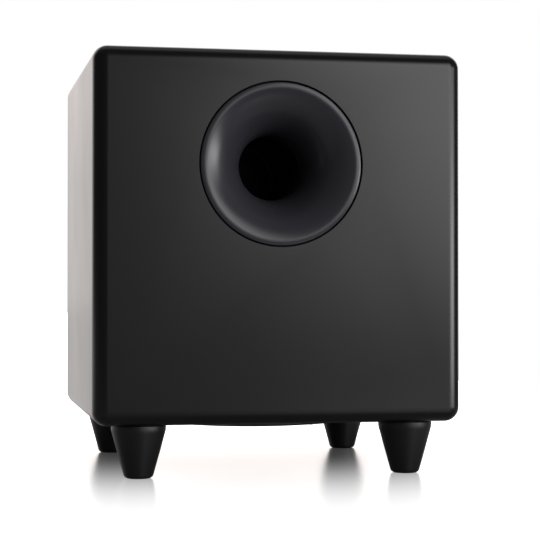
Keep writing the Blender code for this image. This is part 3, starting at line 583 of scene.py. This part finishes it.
def cone_and_cap():
    """Moulded cone with shallow rings, and a domed cap over its neck."""
    face = []
    for i in range(CONE_STEPS + 1):
        share = i / CONE_STEPS
        ripple = RIPPLE_HEIGHT * sin(share * RIPPLE_COUNT * 2 * pi) if 0.08 < share < 0.8 else 0.0
        face.append((CONE_RADIUS - CONE_RUN * share, -0.3 + CONE_DEPTH * share**CONE_CURVE + ripple))
    back = [(radius + 0.4, height + 0.95) for radius, height in reversed(face)]
    loop = [(72.8, 0.7), (72.8, -0.3), *face, (25.9, 33.0), (25.9, 35.2), *back]
    cone = turned("cone_moulding", millimetres(loop), DRIVER_CENTRE, Z_AXIS, CONE, "cone_group", 144)
    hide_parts("woofer_cone")
    ball = (CAP_RADIUS**2 + CAP_RISE**2) / (2 * CAP_RISE)
    reach = degrees(atan2(CAP_RADIUS, ball - CAP_RISE))
    centre = (0, CAP_LEVEL - CAP_RISE + ball)
    loop = [*arc(centre, ball, -90, -90 + reach, 20),
            *arc(centre, ball - CAP_SKIN, -90 + reach, -90, 20)]
    loop = [(max(radius, 0.0), height) for radius, height in loop]
    cap = turned("dust_dome", millimetres(loop), DRIVER_CENTRE, Z_AXIS, CAP, "cone_group", 96)
    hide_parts("woofer_dust_cap")


def driver():
    """The driver that fires at the floor, with its trim ring and screws."""
    driver_frame()
    trim = turned("driver_trim", rounded(millimetres(TRIM_LINE), 6), DRIVER_CENTRE, Z_AXIS, RUBBER,
                  segments=160)
    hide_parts("woofer_trim_ring")
    surround()
    cone_and_cap()
    for i, turn in enumerate(screw_turns(), 1):
        seat = screw_spot(turn) - Z_AXIS * 3.1 * MM
        screw = add(f"driver_bolt_{i}", screw_mesh("driver_bolt", seat, -Z_AXIS, *DRIVER_SCREW),
                    BLACK_STEEL)
        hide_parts(f"woofer_screw_{i}")


# ---- rear plate --------------------------------------------------------------------
# The plate's cut-outs: the radius of each round one in millimetres, half the
# size of the square ones, and how far the inlet's lies inside its flange.
ROUND_HOLES = {"volume_knob": 3.8, "crossover_knob": 3.8, "line_jack_left": 4.9,
               "line_jack_right": 4.9, "status_lamp": 2.8}
SLIDE_HALF = Vector((5.6, 10, 2.2)) * MM
ROCKER_HALF = Vector((7.2, 10, 10.2)) * MM
INLET_INSET = Vector((11.0, 0, 2.1)) * MM
SCREW_INSET = 6 * MM
KNOB_STEM = 3.3 * MM
FLUTE_COUNT, FLUTE_RADIUS = 24, 0.75 * MM
TICK_COUNT, TURN_RANGE = 11, 150
JACK_LINE = [(3.3, 9.3, 0.2), (4.1, 9.3, 0.3), (4.1, 2.6, 0), (5.2, 2.5, 0.1), (5.2, 2.4, 0),
             (4.5, 2.4, 0), (4.5, -12, 0.4), (3.3, -12, 0)]
INSERT_LINE = [(1.7, 8.6, 0.1), (3.25, 8.6, 0.2), (3.25, -10, 0), (1.7, -10, 0)]
NUT_RADIUS, NUT_HOLE, NUT_HEIGHT = 6.4 * MM, 4.55 * MM, 2.1 * MM


def node_middle(node):
    """The point on the rear face behind the middle of a node."""
    return Vector((middle(node, 0), REAR_Y, middle(node, 2)))


def plate_screw_spots():
    """Ten places round the plate's rim, as (x, z)."""
    sides = (plate_low.x + SCREW_INSET, plate_high.x - SCREW_INSET)
    for x in (sides[0], 0, sides[1]):
        for z in (plate_low.z + SCREW_INSET, plate_high.z - SCREW_INSET):
            yield x, z
    for x in sides:
        for share in (1 / 3, 2 / 3):
            yield x, plate_low.z + (plate_high.z - plate_low.z) * share


def amp_plate():
    """Powder-coated steel plate with its cut-outs and ten cross-head screws."""
    plate = box_mesh("amp_plate_coated", plate_low, plate_high, 0.5 * MM, 3)
    cuts = [rod_mesh("hole", node_middle(node), Y_AXIS, radius * MM, 20 * MM, 48)
            for node, radius in ROUND_HOLES.items()]
    for node in ("phase_switch_body", "mode_switch_body"):
        spot = node_middle(node)
        cuts.append(box_mesh("slot", spot - SLIDE_HALF, spot + SLIDE_HALF))
    inlet_low, inlet_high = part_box("mains_inlet")
    low, high = inlet_low + INLET_INSET, inlet_high - INLET_INSET
    low.y, high.y = plate_low.y - PAST, plate_high.y + PAST
    cuts.append(box_mesh("inlet_hole", low, high))
    rocker = node_middle("rocker_housing")
    cuts.append(box_mesh("rocker_hole", rocker - ROCKER_HALF, rocker + ROCKER_HALF))
    obj = add("amp_plate_coated", smooth(cut(plate, cuts), 30), POWDER)
    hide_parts("amp_plate")
    for i, (x, z) in enumerate(plate_screw_spots(), 1):
        seat = Vector((x, REAR_Y + 0.1 * MM, z))
        mesh = screw_mesh("plate_bolt", seat, Y_AXIS, *PLATE_SCREW)
        add(f"plate_bolt_{i}", mesh, BLACK_STEEL)


def dial_direction(turn):
    """The direction on the plate at an angle from +Z towards +X."""
    return Vector((sin(turn), 0, cos(turn)))


def knob_mesh(name, centre, wide, top):
    """A dial with a skirt, and flutes cut round its side."""
    corners = [(0, top, 0), (wide - 1.8 * MM, top, 1.4 * MM), (wide - 0.9 * MM, 4.2 * MM, 0.4 * MM),
               (wide, 3.2 * MM, 0.6 * MM), (wide, 1.2 * MM, 0.5 * MM), (KNOB_STEM, 1.2 * MM, 0),
               (KNOB_STEM, 9 * MM, 0), (0, 9 * MM, 0)]
    mesh = turned_mesh(name, rounded(corners), centre, Y_AXIS, 144)
    flutes = []
    for i in range(FLUTE_COUNT):
        out = dial_direction(2 * pi * (i + 0.5) / FLUTE_COUNT)
        spot = centre + out * (wide - 0.7 * MM) + Y_AXIS * ((4.4 * MM + top) / 2 + 1 * MM)
        flutes.append(rod_mesh("flute", spot, Y_AXIS, FLUTE_RADIUS, top - 2.4 * MM, 12))
    return smooth(cut(mesh, flutes), 30)


def knobs():
    """Ribbed dials with a pale pointer, and a scale of dots round each."""
    for name in ("volume", "crossover"):
        low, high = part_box(f"{name}_knob")
        centre = node_middle(f"{name}_knob")
        top = high.y - REAR_Y
        wide = (high.x - low.x) / 2
        body = f"{name}_dial"
        dial = add(body, knob_mesh(body, centre, wide, top), SOFT_KNOB, body)
        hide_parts(f"{name}_knob")
        tip = centre + Z_AXIS * 5.6 * MM + Y_AXIS * (top - 0.1 * MM)
        half = Vector((0.5, 0.25, 3.4)) * MM
        pointer = add(f"{name}_pointer", box_mesh("pointer", tip - half, tip + half, 0.2 * MM), PRINT,
                      body)
        for i in range(TICK_COUNT):
            out = dial_direction(radians(-TURN_RANGE + 2 * TURN_RANGE * i / (TICK_COUNT - 1)))
            spot = centre + out * (wide + 3.2 * MM) + Y_AXIS * 0.1 * MM
            dot = [(0, 0.12, 0), (0.55, 0.12, 0.08), (0.55, -0.05, 0), (0, -0.05, 0)]
            mark = turned(f"{name}_tick_{i}", rounded(millimetres(dot), 2), spot, Y_AXIS, PRINT,
                          segments=20)


def jacks_and_lamp():
    """Phono jacks with a hexagon nut and a coloured insert; the status lamp."""
    hexagon = [(NUT_RADIUS * cos(radians(60 * i)), NUT_RADIUS * sin(radians(60 * i)))
               for i in range(6)]
    for side, insert in (("left", WHITE_INSERT), ("right", RED_INSERT)):
        node = f"line_jack_{side}"
        centre = node_middle(node)
        jack = turned(f"jack_barrel_{side}", rounded(millimetres(JACK_LINE), 4), centre, Y_AXIS,
                      NICKEL, segments=64)
        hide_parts(node)
        nut = slab_mesh(f"jack_nut_{side}", hexagon, centre + Y_AXIS * 1.35 * MM, Y_AXIS, Z_AXIS,
                        NUT_HEIGHT, 0.25 * MM)
        hole = rod_mesh("hole", centre, Y_AXIS, NUT_HOLE, 12 * MM, 64)
        add(f"jack_nut_{side}", smooth(cut(nut, [hole]), 25), NICKEL)
        plug = turned(f"jack_insert_{side}", rounded(millimetres(INSERT_LINE), 3), centre, Y_AXIS,
                      insert, segments=48)
    dome = [(0, 2.4), *arc((0, -0.1), 2.5, 84, 0, 12), (2.5, -8), (0, -8)]
    lamp = turned("lamp_dome", millimetres(dome), node_middle("status_lamp"), Y_AXIS, LAMP,
                  segments=48)
    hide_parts("status_lamp")


# ---- shader nodes for the floor and the world ----------------------------------------
def feed(tree, socket, value):
    """Links a node's output to a socket, or sets the socket's own value."""
    if isinstance(value, bpy.types.NodeSocket):
        tree.links.new(value, socket)
    else:
        socket.default_value = value


def scalar(tree, operation, first, second=0.0):
    node = tree.nodes.new("ShaderNodeMath")
    node.operation = operation
    feed(tree, node.inputs[0], first)
    feed(tree, node.inputs[1], second)
    return node.outputs["Value"]


def vector(tree, operation, first, second=(0, 0, 0)):
    node = tree.nodes.new("ShaderNodeVectorMath")
    node.operation = operation
    feed(tree, node.inputs[0], first)
    feed(tree, node.inputs[1], second)
    return node.outputs["Value" if operation in ("DOT_PRODUCT", "LENGTH") else "Vector"]


def eased(tree, value, limits):
    """Runs smoothly from limits 3 to 4 while the value goes from 1 to 2."""
    node = tree.nodes.new("ShaderNodeMapRange")
    node.interpolation_type = "SMOOTHSTEP"
    for socket, limit in zip(("From Min", "From Max", "To Min", "To Max"), limits):
        node.inputs[socket].default_value = limit
    tree.links.new(value, node.inputs["Value"])
    return node.outputs["Result"]


def sum_of(tree, first, second):
    """Two shaders added together."""
    node = tree.nodes.new("ShaderNodeAddShader")
    tree.links.new(first, node.inputs[0])
    tree.links.new(second, node.inputs[1])
    return node.outputs["Shader"]


def by_ray(tree, reflected, seen):
    """One shader where the floor or world is reflected, and another where it is seen."""
    path = tree.nodes.new("ShaderNodeLightPath")
    node = tree.nodes.new("ShaderNodeMixShader")
    tree.links.new(path.outputs["Is Camera Ray"], node.inputs["Fac"])
    tree.links.new(reflected, node.inputs[1])
    tree.links.new(seen, node.inputs[2])
    return node.outputs["Shader"]


# ---- camera, floor and light ---------------------------------------------------------
CAMERA_LENS = 108.97
CAMERA_PLACE = Vector((-0.27795, FRONT_Y - 1.34891, UNDERSIDE + 0.11203))
CAMERA_YAW, CAMERA_PITCH, CAMERA_ROLL = 0.19598, 0.01327, 0.00009

# The floor, in metres: its left, right, front and back edges.
FLOOR_EDGES = (-3.0, 0.62, -0.62, 12.0)
FLOOR_GLOSS, FLOOR_SHEEN, FLOOR_ROUGHNESS = 0.84, 0.20, 0.22
FLOOR_WARMTH = (1.0, 0.97, 0.95, 1)
# Its shade is strongest round SHADE_CENTRE. It fades with distance, measured
# shorter sideways by SHADE_SHAPE, and ends at the sides and behind the object.
SHADE_CENTRE, SHADE_SHAPE = (0.0, 0.11, 0.0), (1.2, 1.0, 1.0)
SHADE_REACH = (0.08, 0.49, 0.965, 0.0)
SHADE_SIDE = (0.16, 0.27, 1.0, 0.0)
SHADE_BACK = (0.14, 0.27, 1.0, 0.0)
# What the object gets back from the floor grows from its front to its back.
FLOOR_BOUNCE = (-0.2, 0.5, 0.16, 0.72)

# Each soft light, in degrees: the azimuths (from -Y towards +X) and elevations
# it lies between, every edge with its softness; then its radiance and colour.
SOFT_LIGHTS = (
    ((12.6, 6.5), (44, 6), (-0.5, 8), (35, 14), 3.1, (1.0, 1.0, 1.02)),
    ((44, 6), (71, 12), (-4, 7), (13, 8), 3.0, (1.0, 1.0, 1.02)),
    ((38, 5), (67, 7), (-7, 3), (4.3, 3.5), 5.2, (1.0, 1.0, 1.0)),
    ((-2, 4), (12, 6), (-10, 8), (35, 14), 0.30, (1.0, 1.0, 1.0)),
    ((130, 12), (230, 12), (-6, 6), (44, 10), 1.05, (1.0, 0.955, 0.93)),
    ((130, 12), (230, 12), (5.5, 2.5), (44, 10), 0.25, (1.0, 0.80, 0.78)),
    ((80, 30), (250, 30), (58, 8), (88, 8), 0.35, (1.0, 1.0, 1.0)),
)
FILL = 0.08


def camera():
    """The viewing angle: front left, a little below the cabinet's middle."""
    data = bpy.data.cameras.new("camera")
    data.sensor_width = 36.0
    data.lens = CAMERA_LENS
    data.clip_end = 100.0
    obj = bpy.data.objects.new("camera", data)
    bpy.context.scene.collection.objects.link(obj)
    turn = (Matrix.Rotation(-CAMERA_YAW, 4, "Z") @ Matrix.Rotation(pi / 2 + CAMERA_PITCH, 4, "X")
            @ Matrix.Rotation(CAMERA_ROLL, 4, "Z"))
    obj.matrix_world = Matrix.Translation(CAMERA_PLACE) @ turn
    bpy.context.scene.camera = obj


def floor_shine(tree, share):
    """The floor's soft mirror, which reflects that share of the light."""
    node = tree.nodes.new("ShaderNodeBsdfAnisotropic")
    node.inputs["Color"].default_value = (share, share, share, 1)
    node.inputs["Roughness"].default_value = FLOOR_ROUGHNESS
    return node.outputs["BSDF"]


def glow(tree, colour, strength):
    node = tree.nodes.new("ShaderNodeEmission")
    node.inputs["Color"].default_value = colour
    tree.links.new(strength, node.inputs["Strength"])
    return node.outputs["Emission"]


def floor_material():
    """White and glossy, with a soft shade under the object and in front of it;
    the object's own reflections of it are dimmer and slightly warm."""
    mat = bpy.data.materials.new("floor_gloss")
    mat.use_nodes = True
    tree = mat.node_tree
    tree.nodes.clear()
    where = tree.nodes.new("ShaderNodeTexCoord").outputs["Object"]
    split = tree.nodes.new("ShaderNodeSeparateXYZ")
    tree.links.new(where, split.inputs["Vector"])
    aside = scalar(tree, "ABSOLUTE", split.outputs["X"])
    along = split.outputs["Y"]
    offset = vector(tree, "DIVIDE", vector(tree, "SUBTRACT", where, SHADE_CENTRE), SHADE_SHAPE)
    shade = scalar(tree, "MULTIPLY", eased(tree, vector(tree, "LENGTH", offset), SHADE_REACH),
                   eased(tree, aside, SHADE_SIDE))
    shade = scalar(tree, "MULTIPLY", shade, eased(tree, along, SHADE_BACK))
    lift = scalar(tree, "SUBTRACT", 1.0, shade)
    bounce = scalar(tree, "MULTIPLY", eased(tree, along, FLOOR_BOUNCE), lift)
    reflected = sum_of(tree, floor_shine(tree, FLOOR_SHEEN), glow(tree, FLOOR_WARMTH, bounce))
    seen = sum_of(tree, floor_shine(tree, FLOOR_GLOSS), glow(tree, (1, 1, 1, 1), lift))
    out = tree.nodes.new("ShaderNodeOutputMaterial")
    tree.links.new(by_ray(tree, reflected, seen), out.inputs["Surface"])
    return mat


def floor():
    mesh = bpy.data.meshes.new("floor")
    left, right, front, back = FLOOR_EDGES
    corners = [(left, front, 0), (right, front, 0), (right, back, 0), (left, back, 0)]
    mesh.from_pydata(corners, [], [(0, 1, 2, 3)])
    mesh.materials.append(floor_material())
    obj = bpy.data.objects.new("floor", mesh)
    bpy.context.scene.collection.objects.link(obj)


def soft_light(tree, towards, rise, light):
    """The light that comes from one soft-edged patch of the surroundings."""
    left, right, low, high, radiance, colour = light

    def edge(value, place, softness):
        """Rises from 0 to 1 across the edge, or falls if the softness is negative."""
        limits = (radians(place - softness), radians(place + softness), 0.0, 1.0)
        return eased(tree, value, limits)

    centre = (left[0] + right[0]) / 2
    turn = radians(centre)
    ahead = vector(tree, "DOT_PRODUCT", towards, (sin(turn), -cos(turn), 0))
    across = vector(tree, "DOT_PRODUCT", towards, (cos(turn), sin(turn), 0))
    sideways = scalar(tree, "ARCTAN2", across, ahead)
    inside = edge(sideways, left[0] - centre, left[1])
    for limit in (edge(sideways, right[0] - centre, -right[1]), edge(rise, *low),
                  edge(rise, high[0], -high[1])):
        inside = scalar(tree, "MULTIPLY", inside, limit)
    same = tree.nodes.new("ShaderNodeCombineXYZ")
    for socket in same.inputs:
        tree.links.new(inside, socket)
    return vector(tree, "MULTIPLY", same.outputs["Vector"],
                  tuple(radiance * channel for channel in colour))


def world():
    """Studio surroundings by direction: a white sweep behind, soft lights at
    the front right, and a dim room elsewhere; to the eye, plain white."""
    studio = bpy.data.worlds.new("studio")
    bpy.context.scene.world = studio
    studio.use_nodes = True
    tree = studio.node_tree
    tree.nodes.clear()
    towards = tree.nodes.new("ShaderNodeTexCoord").outputs["Generated"]
    rise = scalar(tree, "ARCSINE", vector(tree, "DOT_PRODUCT", towards, (0, 0, 1)))
    total = (FILL, FILL, FILL)
    for light in SOFT_LIGHTS:
        total = vector(tree, "ADD", soft_light(tree, towards, rise, light), total)
    reflected = tree.nodes.new("ShaderNodeBackground")
    tree.links.new(total, reflected.inputs["Color"])
    seen = tree.nodes.new("ShaderNodeBackground")
    seen.inputs["Color"].default_value = (1, 1, 1, 1)
    out = tree.nodes.new("ShaderNodeOutputWorld")
    tree.links.new(by_ray(tree, reflected.outputs["Background"], seen.outputs["Background"]),
                   out.inputs["Surface"])


cabinet_shell()
port()
feet()
driver()
amp_plate()
knobs()
jacks_and_lamp()
camera()
floor()
world()

view = bpy.context.scene.view_settings
view.view_transform = "Standard"
view.look = "None"
